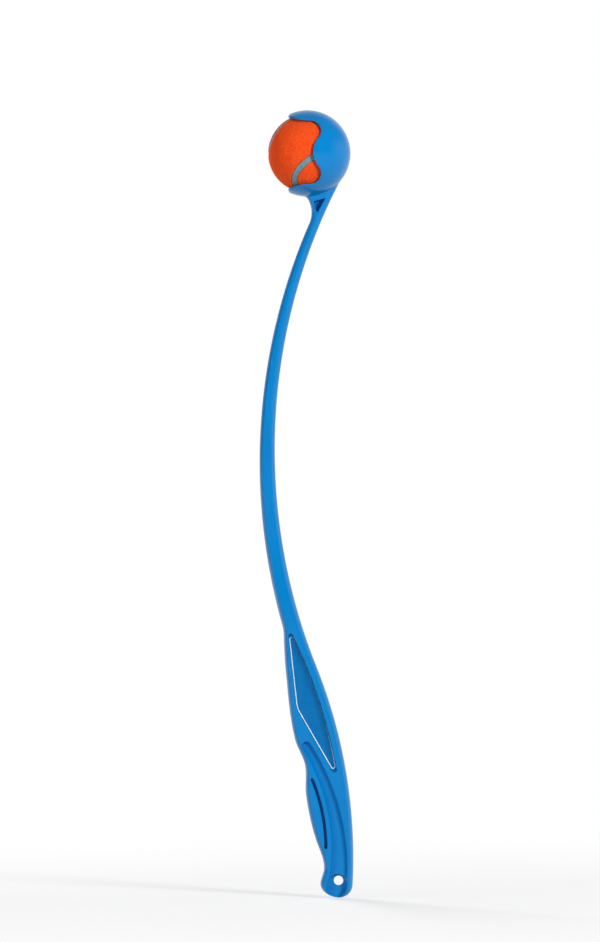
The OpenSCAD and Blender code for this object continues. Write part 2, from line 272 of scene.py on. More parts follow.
def cut_grip(wall, x, y, z):
    """The moulding's wall with the channel, slit, label recess, end pocket and hang hole taken out."""
    face = handle_t / 2
    side = np.abs(y)
    front = np.hypot(x - channel_front[0], z - channel_front[1]) - channel_front_r
    back = np.hypot(x - channel_back[0], z - channel_back[1]) - channel_back_r
    left = arc_x(channel_front, channel_front_r, channel_top)
    right = arc_x(channel_back, channel_back_r, channel_top)
    lean = math.asin((channel_top - channel_front[1]) / channel_front_r)
    mid = (left + right) / 2
    up = (z - channel_top) * math.cos(lean) - (x - mid) * math.sin(lean)
    cap = np.hypot(x - mid, z - channel_top) - (right - left) / 2 * math.cos(lean)
    channel = np.maximum(np.where(up > 0, cap, np.maximum(-front, back)), channel_low - z)
    floor = face - channel_d * np.sin(np.clip(front / channel_slope, 0, 1) * math.pi / 2)
    rim = channel_rim + channel_rim_gain * smooth((front - channel_rim_from) / channel_rim_len)
    wall = round_max(wall, -round_max(channel, floor - side, channel_floor_r), rim)

    turn = np.clip(np.arctan2(z - channel_front[1], x - channel_front[0]), *slit_ends)
    slit_x = channel_front[0] + slit_r * np.cos(turn)
    slit_z = channel_front[1] + slit_r * np.sin(turn)
    slit = np.hypot(x - slit_x, z - slit_z) - slit_w / 2
    wall = round_max(wall, -np.maximum(slit, face - slit_d - side), slit_rim)

    wall = round_max(wall, -np.maximum(label_shape(x, z), face - recess_d + y), recess_rim)

    ring = np.hypot(x - pocket[0], z - pocket[1]) - pocket_r
    scoop = (np.hypot((x - bowl[0]) / bowl_size[0], (z - bowl[1]) / bowl_size[1]) - 1) * min(bowl_size)
    hollow = round_max(round_min(ring, scoop, pocket_blend), hole_web / 2 - side, pocket_floor_r)
    rim = pocket_rim + pocket_rim_gain * smooth((pocket_rim_from - z) / pocket_rim_len)
    wall = round_max(wall, -hollow, rim)
    return round_max(wall, hole_d / 2 - np.hypot(x, z), hole_rim)


# The head: a ball cup with two notches, a tongue and two gripping lips on each side of its mouth
cup_inner = 32.1
cup_outer = 34.8
cup_deep = cup_outer - 1.1
cup_x, cup_z = (float(v) for v in stick_place(np.array(cup_s), np.array(cup_deep)))
rim_r = 1.0
lip_rim_r = 1.7
lip_spare = 0.4
notch_r = 8.5
notch = (2.4, 17.2)
tongue_back = 4.5
lip_r = 48.0
lip_from = 16.0
lip_blend = 8.0
lip_reach = 15.0
head_spare = 4.0
stick_stop = 6.0
neck_fillet = 2.0
neck_fade = 12.0
gusset_len = 12.5
gusset_web = 2.4
gusset_wall = 4.2
gusset_margin = 4.3
gusset_top = math.sqrt((cup_outer + gusset_wall) ** 2 - (cup_deep - gusset_margin) ** 2)
gusset_s = cup_s - gusset_top - gusset_len
gusset_corners = [
    (gusset_s + 15.5, gusset_margin),
    (gusset_s, 5.5),
    (gusset_s + 6.0, 11.4),
    (gusset_s + 13.5, 13.4),
]
gusset_back_r = 0.9
gusset_front_r = 0.6
gusset_top_r = 0.8
gusset_floor_r = 0.6
gusset_rim = 0.5


def mouth_shape(u, v):
    """How far points lie outside the mouth; u is right of the cup's middle, v above or below it."""
    reach = notch[0] - tongue_back
    tongue_r = (reach**2 + notch[1] ** 2 - notch_r**2) / (2 * (notch_r + reach))
    tongue_u = tongue_back + tongue_r
    share = notch_r / (notch_r + tongue_r)
    meet = (notch[0] + share * (tongue_u - notch[0]), notch[1] * (1 - share))
    round_notch = np.hypot(u - notch[0], v - notch[1]) - notch_r
    tongue = tongue_r - np.hypot(u - tongue_u, v)
    lip = lip_r - np.hypot(u - notch[0], v - notch[1] - notch_r - lip_r)
    back = notch[0] + (meet[0] - notch[0]) * np.clip((notch[1] - v) / (notch[1] - meet[1]), 0, 1)
    front = np.maximum(np.maximum(tongue, lip), u - back)
    return np.minimum(np.minimum(round_notch, front), u + lip_reach)


def shape_head(wall, x, y, z, s, d):
    """The stick joined to the cup, with the gusset pocket, the ball's space and the mouth taken out."""
    u = x - cup_x
    v = np.abs(z - cup_z)
    rho = np.sqrt(u * u + y * y + v * v)
    fillet = neck_fillet * np.clip((cup_s - stick_stop - s) / neck_fade, 0.02, 1)
    wall = round_min(np.maximum(wall, s - cup_s + stick_stop), rho - cup_outer, fillet)
    sides = [past_line(s, d, a, b) for a, b in zip(gusset_corners, gusset_corners[1:])]
    gusset = round_max(round_max(sides[1], sides[0], gusset_back_r), sides[2], gusset_front_r)
    gusset = round_max(gusset, cup_outer + gusset_wall - rho, gusset_top_r)
    gusset = round_max(gusset, y - neck_t / 2 + gusset_web, gusset_floor_r)
    wall = round_max(wall, -gusset, gusset_rim)
    on_lip = smooth((v - lip_from) / lip_blend)
    mouth = mouth_shape(u, v) + lip_spare * on_lip
    return round_max(np.maximum(wall, cup_inner - rho), -mouth, rim_r + (lip_rim_r - rim_r) * on_lip)


def launcher_shape(points):
    """How far points lie outside the moulding; below zero is inside."""
    x, y, z = points.T
    s, d = stick_coords(x, z)
    wall = stick_shape(s, d, np.abs(y))
    grip = s < shoulder_len
    wall[grip] = cut_grip(wall[grip], x[grip], y[grip], z[grip])
    head = s > arm_end - head_spare
    wall[head] = shape_head(wall[head], x[head], y[head], z[head], s[head], d[head])
    return wall


def shape_slope(points, shape, step=0.04):
    """Which way the shape grows fastest, at each point."""
    slope = np.empty_like(points)
    for axis in range(3):
        move = np.zeros(3)
        move[axis] = step
        slope[:, axis] = (shape(points + move) - shape(points - move)) / (2 * step)
    return slope


def skin(inside_out, lines):
    """Points and quads over the zero of a field, on a lattice with the given lines along each axis."""
    inside = inside_out < 0
    cut = np.array(inside.shape) - 1
    near = [np.s_[:-1], np.s_[1:]]
    corners = [inside[a, b, c].astype(np.int8) for a in near for b in near for c in near]
    count = sum(corners)
    cells = np.argwhere((count > 0) & (count < 8))
    number = np.full(cut, -1, np.int64)
    number[tuple(cells.T)] = np.arange(len(cells))
    total = np.zeros((len(cells), 3))
    hits = np.zeros(len(cells))
    for axis in range(3):
        others = [a for a in range(3) if a != axis]
        for corner in range(4):
            start = cells.copy()
            start[:, others[0]] += corner % 2
            start[:, others[1]] += corner // 2
            end = start.copy()
            end[:, axis] += 1
            f0 = inside_out[tuple(start.T)]
            f1 = inside_out[tuple(end.T)]
            crosses = (f0 < 0) != (f1 < 0)
            place = start[crosses].astype(float)
            place[:, axis] += f0[crosses] / (f0[crosses] - f1[crosses])
            total[crosses] += place
            hits[crosses] += 1
    faces = []
    for axis in range(3):
        b, c = (axis + 1) % 3, (axis + 2) % 3
        first = np.take(inside, range(cut[axis]), axis)
        last = np.take(inside, range(1, cut[axis] + 1), axis)
        spots = np.argwhere(first != last)
        for side in (b, c):
            spots = spots[(spots[:, side] > 0) & (spots[:, side] < cut[side])]
        leaves = first[tuple(spots.T)]
        ring = []
        for step_b, step_c in ((1, 1), (1, 0), (0, 0), (0, 1)):
            cell = spots.copy()
            cell[:, b] -= step_b
            cell[:, c] -= step_c
            ring.append(number[tuple(cell.T)])
        quads = np.array(ring).T
        quads[~leaves] = quads[~leaves][:, ::-1]
        faces.append(quads)
    steps = total / hits[:, None]
    spread = [np.interp(steps[:, a], np.arange(len(lines[a])), lines[a]) for a in range(3)]
    return np.array(spread).T, np.concatenate(faces)


def unit(ways):
    """The same ways, each of length 1."""
    return ways / np.maximum(np.linalg.norm(ways, axis=1), 1e-6)[:, None]


slide_share = 0.6


def evened(points, faces, normals):
    """Points slid along their surface to the middle of their neighbours, so that no face folds over."""
    a = faces.ravel()
    b = np.roll(faces, 1, 1).ravel()
    count = np.bincount(a, minlength=len(points)) + np.bincount(b, minlength=len(points))
    total = np.empty_like(points)
    for axis in range(3):
        along = points[:, axis]
        total[:, axis] = np.bincount(a, along[b], len(points)) + np.bincount(b, along[a], len(points))
    slide = slide_share * (total / count[:, None] - points)
    return points + slide - (slide * normals).sum(1)[:, None] * normals


def new_piece(name, points, faces, normals=None):
    """A smooth mesh object from points in millimetres."""
    mesh = bpy.data.meshes.new(name)
    mesh.from_pydata((np.asarray(points) * mm).tolist(), [], [[int(v) for v in face] for face in faces])
    mesh.polygons.foreach_set("use_smooth", [True] * len(mesh.polygons))
    if normals is not None:
        mesh.normals_split_custom_set_from_vertices(normals.tolist())
    piece = bpy.data.objects.new(name, mesh)
    bpy.context.scene.collection.objects.link(piece)
    return piece


# The lattice for the net: fine at the neck and across the stick, wider along the plain arm
fine = 0.68
handle_step = 0.84
arm_step = 3.0
cup_step = 0.84
spare = 2.0
neck_low = arm_end - 8
cup_low = cup_s - 22
handle_deep = 38.0
arm_deep = 20.0
far_out = 5.0
deep_start = -2.5
deep_fine = 37.0
deep_wide = 37.2
near_count = 15
long_steps = np.concatenate([
    np.arange(handle_end - spare, shoulder_len, handle_step),
    np.arange(shoulder_len, neck_low, arm_step),
    np.arange(neck_low, cup_low, fine),
    np.arange(cup_low, cup_s + cup_outer + spare, cup_step),
])
deep_steps = np.concatenate([
    np.arange(deep_start, deep_fine, fine),
    np.arange(deep_wide, 2 * cup_outer + spare, cup_step),
])
near_steps = (np.arange(near_count) + 0.5) * fine
far_steps = np.arange(near_steps[-1] + cup_step, cup_outer + spare, cup_step)
side_steps = np.concatenate([-far_steps[::-1], -near_steps[::-1], near_steps, far_steps])
field = np.full((len(long_steps), len(deep_steps), len(side_steps)), far_out, np.float32)
for i, s in enumerate(long_steps):
    if s > arm_end:
        deep = np.full(len(deep_steps), True)
        across = np.full(len(side_steps), True)
    else:
        deep = deep_steps < (handle_deep if s < shoulder_len + spare else arm_deep)
        across = np.abs(side_steps) < handle_t / 2 + spare
    d, y = np.meshgrid(deep_steps[deep], side_steps[across], indexing="ij")
    x, z = stick_place(np.full(d.shape, s), d)
    values = launcher_shape(np.stack([x.ravel(), y.ravel(), z.ravel()], 1)).reshape(d.shape)
    field[i][np.ix_(deep, across)] = values
lattice, launcher_faces = skin(field, (long_steps, deep_steps, side_steps))
launcher_x, launcher_z = stick_place(lattice[:, 0], lattice[:, 1])
launcher_points = np.stack([launcher_x, lattice[:, 2], launcher_z], 1)
settle_turns = 7
even_turns = 4
for turn in range(settle_turns):
    slope = shape_slope(launcher_points, launcher_shape)
    size = np.maximum((slope**2).sum(1), 0.25)
    move = np.clip(launcher_shape(launcher_points) / size, -fine / 2, fine / 2)
    launcher_points -= move[:, None] * slope
    if turn < even_turns:
        launcher_points = evened(launcher_points, launcher_faces, unit(slope))
launcher_normals = unit(shape_slope(launcher_points, launcher_shape, fine / 3))
launcher = new_piece("launcher_moulding", launcher_points, launcher_faces, launcher_normals)


def srgb(r, g, b):
    """A colour as seen on a screen, 0 to 255, as a shader takes it."""
    parts = [c / 255 for c in (r, g, b)]
    return tuple(c / 12.92 if c <= 0.04045 else ((c + 0.055) / 1.055) ** 2.4 for c in parts) + (1,)


def new_material(name):
    """A material with its node tree, its Principled shader and the object coordinates."""
    material = bpy.data.materials.new(name)
    material.use_nodes = True
    tree = material.node_tree
    shader = tree.nodes["Principled BSDF"]
    place = tree.nodes.new("ShaderNodeTexCoord").outputs["Object"]
    return material, tree, shader, place


def grain(tree, place, scale, detail=3.0):
    """Noise of a given number of bumps to the metre."""
    node = tree.nodes.new("ShaderNodeTexNoise")
    node.inputs["Scale"].default_value = scale
    node.inputs["Detail"].default_value = detail
    tree.links.new(place, node.inputs["Vector"])
    return node.outputs["Fac"]


def ramp(tree, value, stops):
    """Colours or greys spread over a value; stops are pairs of place and colour."""
    node = tree.nodes.new("ShaderNodeValToRGB")
    while len(node.color_ramp.elements) < len(stops):
        node.color_ramp.elements.new(0.5)
    for element, (place, colour) in zip(node.color_ramp.elements, stops):
        element.position = place
        element.color = colour
    tree.links.new(value, node.inputs["Fac"])
    return node.outputs["Color"]


def relief(tree, shader, height, strength, depth):
    """Adds a bump of a given depth in metres to a shader, over any that it has."""
    node = tree.nodes.new("ShaderNodeBump")
    node.inputs["Strength"].default_value = strength
    node.inputs["Distance"].default_value = depth
    tree.links.new(height, node.inputs["Height"])
    before = shader.inputs["Normal"].links
    if before:
        tree.links.new(before[0].from_socket, node.inputs["Normal"])
    tree.links.new(node.outputs["Normal"], shader.inputs["Normal"])


def grey(level):
    """A grey of a given level, as a shader takes it."""
    return (level, level, level, 1)


parting_w = 0.5
parting_h = 0.12


def satin_blue_plastic():
    """The moulding's skin, with the fine line left where the two mould halves meet."""
    material, tree, shader, place = new_material("satin_blue_plastic")
    tone = grain(tree, place, 24, 4)
    stops = [(0.3, srgb(0, 130, 204)), (0.7, srgb(0, 136, 211))]
    tree.links.new(ramp(tree, tone, stops), shader.inputs["Base Color"])
    haze = grain(tree, place, 160, 5)
    tree.links.new(ramp(tree, haze, [(0.25, grey(0.2)), (0.75, grey(0.27))]), shader.inputs["Roughness"])
    shader.inputs["Specular IOR Level"].default_value = 0.27
    relief(tree, shader, grain(tree, place, 2600, 2), 0.3, 0.00006)
    across = tree.nodes.new("ShaderNodeSeparateXYZ")
    tree.links.new(place, across.inputs[0])
    off_middle = tree.nodes.new("ShaderNodeMath")
    off_middle.operation = "ABSOLUTE"
    tree.links.new(across.outputs["Y"], off_middle.inputs[0])
    parting = tree.nodes.new("ShaderNodeMapRange")
    parting.interpolation_type = "SMOOTHSTEP"
    parting.inputs["From Max"].default_value = parting_w / 2 * mm
    parting.inputs["To Min"].default_value = 1.0
    parting.inputs["To Max"].default_value = 0.0
    tree.links.new(off_middle.outputs[0], parting.inputs["Value"])
    relief(tree, shader, parting.outputs["Result"], 0.6, parting_h * mm)
    return material


launcher.data.materials.append(satin_blue_plastic())
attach(launcher, "launcher")
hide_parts("cup", "arm", "handle")


# Handle label
# A printed film label lies on the floor of the recess in the front face, glued down.
# Its face is a deeper blue than the moulding, with a white line printed round its edge; both darken towards
# the long edge as a painted shadow of the recess wall.
label_t = 0.6
label_gap = 0.2
label_roll = 0.12
line_edge = 0.42
line_w = 0.8
line_long_w = 0.45
line_turns = (1.85, 1.25)
label_face = recess_d - handle_t / 2 - label_t
label_bend = 5.0
tip_steps = 14
long_edge_steps = 80
bend_steps = 12


def arc_points(centre, r, start, stop, steps):
    """Points along an arc from one angle to another."""
    turns = np.linspace(start, stop, steps + 1)
    return np.stack([centre[0] + r * np.cos(turns), centre[1] + r * np.sin(turns)], 1)


def turn_of(way):
    """The angle of a way in the plane of the front face."""
    return math.atan2(way[1], way[0])


def tip_centre(start, along, inward, inset, long_inset):
    """Where a line from start, moved in by an inset, meets the long edge moved in by another."""
    q = start + inset * inward - np.array((grip_x, grip_z))
    b = q @ along
    return start + inset * inward + (math.sqrt(b * b - q @ q + (label_r - long_inset) ** 2) - b) * along


def label_loop(inset, long_inset, tip_r):
    """A closed line round the label at insets from the recess wall, its tips turned at a radius."""
    low, high = (np.array(round_the_grip(label_r, a)) for a in label_ends)
    corner = np.array(round_the_grip(*label_mid))
    up = (high - corner) / np.linalg.norm(high - corner)
    down = (low - corner) / np.linalg.norm(low - corner)
    in_up = np.array((up[1], -up[0]))
    in_down = np.array((-down[1], down[0]))
    top = tip_centre(corner, up, in_up, inset + tip_r, long_inset + tip_r)
    foot = tip_centre(corner, down, in_down, inset + tip_r, long_inset + tip_r)
    top_turn = turn_of(top - (grip_x, grip_z))
    foot_turn = turn_of(foot - (grip_x, grip_z))
    bend_from = corner + label_bend * down + inset * in_down
    bend_to = corner + label_bend * up + inset * in_up
    bend_mid = corner + inset * (in_up + in_down) / (1 + in_up @ in_down)
    u = np.linspace(0, 1, bend_steps + 1)[:, None]
    return np.concatenate([
        arc_points(top, tip_r, turn_of(-in_up) + 2 * math.pi, top_turn, tip_steps),
        arc_points((grip_x, grip_z), label_r - long_inset, top_turn, foot_turn, long_edge_steps)[1:-1],
        arc_points(foot, tip_r, foot_turn, turn_of(-in_down), tip_steps),
        (1 - u) ** 2 * bend_from + 2 * u * (1 - u) * bend_mid + u * u * bend_to,
    ])


label_top_inset = label_gap + label_roll
label_rings = [
    (label_gap, label_gap, label_round - label_gap, label_face + label_t),
    (label_gap, label_gap, label_round - label_gap, label_face + label_roll),
    (label_top_inset, label_top_inset, label_round - label_top_inset, label_face),
    (line_edge, line_edge, line_turns[0], label_face),
    (line_edge + line_w, line_edge + line_long_w, line_turns[1], label_face),
]
label_points = []
label_normals = []
for inset, long_inset, tip_r, depth in label_rings:
    loop = label_loop(inset, long_inset, tip_r)
    ahead = np.roll(loop, -1, 0) - np.roll(loop, 1, 0)
    out = np.stack([-ahead[:, 1], np.zeros(len(loop)), ahead[:, 0]], 1)
    out /= np.linalg.norm(out, axis=1)[:, None]
    label_points.append(np.stack([loop[:, 0], np.full(len(loop), depth), loop[:, 1]], 1))
    label_normals.append(out if depth > label_face else np.tile((0.0, -1.0, 0.0), (len(loop), 1)))
ring = len(loop)

# The white line thins along the long edge: steps round the label, and the share of its width left there
taper_at = [0, tip_steps // 2, tip_steps, 70, tip_steps + long_edge_steps - 1]
taper_share = [0.9, 0.35, 0.1, 0.25, 1.0]
taper = np.interp(np.arange(ring), taper_at, taper_share)[:, None]
label_points[-1] = label_points[-2] + taper * (label_points[-1] - label_points[-2])
label_faces = [list(range(ring))]
label_line = [False]
for i in range(len(label_rings) - 1):
    for j in range(ring):
        k = (j + 1) % ring
        label_faces.append((i * ring + k, i * ring + j, (i + 1) * ring + j, (i + 1) * ring + k))
        label_line.append(i == len(label_rings) - 2)
label_faces.append([(len(label_rings) - 1) * ring + j for j in range(ring)][::-1])
label_line.append(False)
label_points = np.concatenate(label_points)
label_normals = np.concatenate(label_normals)
label = new_piece("handle_label_film", label_points, label_faces, label_normals)


# Distances in from the label's long edge, in mm, over which the painted shadow of the recess wall deepens.
long_edge_shade_band = (6.0, 0.5)


def label_film(name, colour, long_edge):
    """Printed film whose colour darkens towards the label's long edge, a painted shadow of the recess wall.
    """
    material, tree, shader, place = new_material(name)
    # The second tone is a painted shade of the first, used along the long edge.
    tones = []
    speck = grain(tree, place, 220, 4)
    for tone in (colour, long_edge):
        light = tuple(min(1, c * 1.06 + 0.004) for c in tone[:3]) + (1,)
        tones.append(ramp(tree, speck, [(0.35, tone), (0.65, light)]))
    flat = tree.nodes.new("ShaderNodeVectorMath")
    flat.operation = "MULTIPLY_ADD"
    flat.inputs[1].default_value = (1, 0, 1)
    flat.inputs[2].default_value = (-grip_x * mm, 0, -grip_z * mm)
    tree.links.new(place, flat.inputs[0])
    reach = tree.nodes.new("ShaderNodeVectorMath")
    reach.operation = "LENGTH"
    tree.links.new(flat.outputs[0], reach.inputs[0])
    # Blends towards the painted shade as points near the long edge.
    shade_near_edge = tree.nodes.new("ShaderNodeMapRange")
    shade_near_edge.inputs["From Min"].default_value = (label_r - long_edge_shade_band[0]) * mm
    shade_near_edge.inputs["From Max"].default_value = (label_r - long_edge_shade_band[1]) * mm
    tree.links.new(reach.outputs["Value"], shade_near_edge.inputs["Value"])
    blend = tree.nodes.new("ShaderNodeMix")
    blend.data_type = "RGBA"
    tree.links.new(shade_near_edge.outputs["Result"], blend.inputs["Factor"])
    tree.links.new(tones[0], blend.inputs["A"])
    tree.links.new(tones[1], blend.inputs["B"])
    tree.links.new(blend.outputs["Result"], shader.inputs["Base Color"])
    scuff = grain(tree, place, 900, 6)
    tree.links.new(ramp(tree, scuff, [(0.3, grey(0.3)), (0.7, grey(0.42))]), shader.inputs["Roughness"])
    shader.inputs["Specular IOR Level"].default_value = 0.2
    return material


# Each film's second colour is its painted shade along the long edge, in place of the recess wall's shadow.
label.data.materials.append(label_film("label_blue_film", srgb(0, 113, 181), srgb(0, 88, 144)))
label.data.materials.append(label_film("label_white_line", srgb(226, 240, 250), srgb(170, 200, 224)))
label.data.polygons.foreach_set("material_index", [int(w) for w in label_line])
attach(label, "launcher")
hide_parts("handle_label")


# Ball core
# Two moulded half shells of dark rubber, cemented together, are the hollow pressure-free core.
# They are closed in under the felt, so the solids of the frame stand for them.
def core_rubber():
    """Dull dark rubber."""
    material, tree, shader, place = new_material("core_rubber")
    tone = grain(tree, place, 140, 4)
    stops = [(0.3, srgb(52, 56, 60)), (0.7, srgb(66, 70, 74))]
    tree.links.new(ramp(tree, tone, stops), shader.inputs["Base Color"])
    shader.inputs["Roughness"].default_value = 0.7
    relief(tree, shader, grain(tree, place, 1400, 3), 0.3, 0.0001)
    return material


core_material = core_rubber()
core_low, core_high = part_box("ball_core_left")[0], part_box("ball_core_right")[1]
ball_middle = np.array((core_low + core_high) / 2) / mm
for name in ("ball_core_left", "ball_core_right"):
    half_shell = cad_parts[name]
    half_shell.data.materials.clear()
    half_shell.data.materials.append(core_material)


# Ball felt
# Two dumb-bell panels of orange needle felt are cemented round the core, edge to edge along the seam.
# Their cut edges roll down to the seam, and a short nap stands on them.
ball_r = 31.75
felt_t = 3.0
seam_w = 4.6
seam_gap = 0.15
seam_waist = 0.21
ball_tilt = (
    Matrix.Rotation(math.radians(-152), 3, "Z")
    @ Matrix.Rotation(math.radians(113), 3, "Y")
    @ Matrix.Rotation(math.radians(3), 3, "Z")
)


def seam_line(t):
    """The seam on a ball of radius 1, and the way across it, at angle t round the ball."""
    b = seam_waist
    a = 1 - b
    on = np.array((
        a * math.cos(t) + b * math.cos(3 * t),
        a * math.sin(t) - b * math.sin(3 * t),
        2 * math.sqrt(a * b) * math.sin(2 * t),
    ))
    along = np.array((
        -a * math.sin(t) - 3 * b * math.sin(3 * t),
        a * math.cos(t) - 3 * b * math.cos(3 * t),
        4 * math.sqrt(a * b) * math.cos(2 * t),
    ))
    return on, np.cross(on, along / np.linalg.norm(along))


def beside_seam(t, inset):
    """A spot on a ball of radius 1, beside the seam by an inset."""
    on, across = seam_line(t)
    spot = on + inset / ball_r * across
    return spot / np.linalg.norm(spot)


def on_ball(spots):
    """Points about the ball's middle, turned and set as the ball lies in the cup."""
    return np.asarray(spots) @ np.array(ball_tilt).T + ball_middle


felt_rows = 230
felt_cols = 84
felt_roll = 1.3
felt_roll_drop = 1.1
felt_under = 0.2
felt_lump = 0.1
felt_lump_scale = 22
felt_start = -43.5
felt_sweep = 177
felt_end_share = 0.9


def felt_panel(name, half_turn):
    """One panel: a grid from edge to edge, lumpy on top, closed underneath."""
    flip = np.array((1, -1, -1)) if half_turn else np.ones(3)
    spots = []
    rolls = []
    for i in range(felt_rows + 1):
        t = math.radians(felt_start + felt_sweep * i / felt_rows)
        p = beside_seam(t, seam_w / 2 + seam_gap)
        q = np.array((-p[1], -p[0], p[2]))
        angle = math.acos(max(-1, min(1, p @ q)))
        end = min(i, felt_rows - i) / felt_rows * math.radians(felt_sweep) * ball_r * felt_end_share
        for j in range(felt_cols + 1):
            f = (1 - math.cos(math.pi * j / felt_cols)) / 2
            spot = (math.sin((1 - f) * angle) * p + math.sin(f * angle) * q) / math.sin(angle)
            spots.append(spot * flip)
            rolls.append(min(end, min(f, 1 - f) * angle * ball_r))
    spots = np.array(spots)
    edge = np.clip(1 - np.array(rolls) / felt_roll, 0, 1)
    drop = felt_roll_drop * (1 - np.sqrt(1 - edge**2))
    lumps = np.array([noise.fractal(Vector(p) * felt_lump_scale, 1.0, 2.1, 4) for p in spots])
    top = ball_r - felt_under - drop + felt_lump * np.clip(lumps, -1.5, 1.5)
    points = np.concatenate([spots * top[:, None], spots * (ball_r - felt_t)])
    wide = felt_cols + 1
    half = len(spots)
    faces = []
    for i in range(felt_rows):
        for j in range(felt_cols):
            a = i * wide + j
            b = a + 1
            c = b + wide
            d = a + wide
            faces.append((a, d, c, b))
            faces.append((half + a, half + b, half + c, half + d))
    rim = list(range(felt_cols))
    rim += [i * wide + felt_cols for i in range(felt_rows)]
    rim += [felt_rows * wide + j for j in range(felt_cols, 0, -1)]
    rim += [i * wide for i in range(felt_rows, 0, -1)]
    for a, b in zip(rim, rim[1:] + rim[:1]):
        faces.append((a, b, half + b, half + a))
    return new_piece(name, on_ball(points), faces)


def orange_felt():
    """Needle felt: lighter and darker tufts, no gloss and a faint sheen of nap."""
    material, tree, shader, place = new_material("orange_felt")
    tone = grain(tree, place, 700, 5)
    stops = [(0.3, srgb(246, 66, 22)), (0.5, srgb(255, 82, 30)), (0.72, srgb(255, 108, 46))]
    tree.links.new(ramp(tree, tone, stops), shader.inputs["Base Color"])
    shader.inputs["Roughness"].default_value = 0.95
    shader.inputs["Specular IOR Level"].default_value = 0.1
    shader.inputs["Sheen Weight"].default_value = 0.25
    shader.inputs["Sheen Roughness"].default_value = 0.5
    shader.inputs["Sheen Tint"].default_value = srgb(255, 150, 90)
    relief(tree, shader, grain(tree, place, 1900, 6), 0.7, 0.0003)
    return material


felt_material = orange_felt()
for name, node, half_turn in (
    ("ball_felt_panel_outer", "ball_felt_outer", False),
    ("ball_felt_panel_inner", "ball_felt_inner", True),
):
    panel = felt_panel(name, half_turn)
    panel.data.materials.append(felt_material)
    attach(panel, "ball")
    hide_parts(node)


# Ball seam
# A closed bead of grey-blue rubber cement fills the groove between the two felt panels.
# It lies a little below the felt and is slightly hollow across, as it shrinks when it cures.
seam_steps = 260
seam_drop = 0.5
seam_hollow = 0.22
seam_wave = 0.05
seam_wave_scale = 30
seam_profile = 9
seam_points = []
for i in range(seam_steps):
    t = 2 * math.pi * i / seam_steps
    for j in range(seam_profile):
        f = 2 * j / (seam_profile - 1) - 1
        wave = seam_wave * noise.noise(Vector(beside_seam(t, 0)) * seam_wave_scale)
        top = ball_r - seam_drop - seam_hollow * (1 - f * f) + wave
        seam_points.append(top * beside_seam(t, f * seam_w / 2))
    for f in (1, -1):
        seam_points.append((ball_r - felt_t) * beside_seam(t, f * seam_w / 2))
ring = seam_profile + 2
seam_faces = []
for i in range(seam_steps):
    for j in range(ring):
        a = i * ring
        b = (i + 1) % seam_steps * ring
        k = (j + 1) % ring
        seam_faces.append((a + j, b + j, b + k, a + k))
seam = new_piece("ball_seam_bead", on_ball(seam_points), seam_faces)


def seam_rubber():
    """Soft grey-blue rubber."""
    material, tree, shader, place = new_material("seam_rubber")
    tone = grain(tree, place, 420, 4)
    stops = [(0.3, srgb(104, 138, 148)), (0.7, srgb(128, 158, 164))]
    tree.links.new(ramp(tree, tone, stops), shader.inputs["Base Color"])
    shader.inputs["Roughness"].default_value = 0.6
    shader.inputs["Specular IOR Level"].default_value = 0.3
    relief(tree, shader, grain(tree, place, 1500, 4), 0.35, 0.00015)
    return material


seam.data.materials.append(seam_rubber())
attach(seam, "ball")
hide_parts("ball_seam")


# Studio
# A wide pale floor lies under the foot of the handle, with a white backdrop and a pale wall on the right.
# Soft lamps stand at the right, the left and the back, out of sight of reflections.
# The camera stands far off with a long lens, square to the front face.
def two_values(tree, operation, a, b):
    """The sum, product or larger one of two values in a node tree."""
    node = tree.nodes.new("ShaderNodeMath")
    node.operation = operation
    tree.links.new(a, node.inputs[0])
    tree.links.new(b, node.inputs[1])
    return node.outputs[0]


floor_reach = 30.0
floor_z = cad_low.z - 0.0005
floor_mesh = bpy.data.meshes.new("studio_floor")
floor_signs = ((-1, -1), (1, -1), (1, 1), (-1, 1))
floor_corners = [(a * floor_reach, b * floor_reach, floor_z) for a, b in floor_signs]
floor_mesh.from_pydata(floor_corners, [], [(0, 1, 2, 3)])
floor = bpy.data.objects.new("studio_floor", floor_mesh)
bpy.context.scene.collection.objects.link(floor)
floor_material, floor_tree, floor_shader, floor_place = new_material("pale_floor")
floor_shader.inputs["Roughness"].default_value = 0.9
floor_shader.inputs["Specular IOR Level"].default_value = 0.0
floor_far = floor_tree.nodes.new("ShaderNodeVectorMath")
floor_far.operation = "LENGTH"
floor_tree.links.new(floor_place, floor_far.inputs[0])
floor_fade = floor_tree.nodes.new("ShaderNodeMapRange")
floor_fade.interpolation_type = "SMOOTHSTEP"
floor_fade.inputs["From Min"].default_value = 0.05
floor_fade.inputs["From Max"].default_value = 1.2
floor_fade.inputs["To Min"].default_value = 0.55
floor_tree.links.new(floor_far.outputs["Value"], floor_fade.inputs["Value"])
floor_ray = floor_tree.nodes.new("ShaderNodeLightPath").outputs
floor_seen = floor_ray["Is Camera Ray"]
for kind in ("Is Transmission Ray", "Is Glossy Ray"):
    floor_seen = two_values(floor_tree, "MAXIMUM", floor_seen, floor_ray[kind])
floor_tone = floor_tree.nodes.new("ShaderNodeMix")
floor_tone.data_type = "RGBA"
floor_tone.inputs["A"].default_value = grey(0.5)
floor_grain = grain(floor_tree, floor_place, 6, 3)
floor_speck = ramp(floor_tree, floor_grain, [(0.3, grey(0.95)), (0.7, grey(0.98))])
floor_tree.links.new(floor_seen, floor_tone.inputs["Factor"])
floor_tree.links.new(floor_speck, floor_tone.inputs["B"])
floor_tree.links.new(floor_tone.outputs["Result"], floor_shader.inputs["Base Color"])
floor_glow = two_values(floor_tree, "MULTIPLY", floor_fade.outputs["Result"], floor_seen)
floor_white = floor_tree.nodes.new("ShaderNodeEmission")
floor_white.inputs["Color"].default_value = grey(1.0)
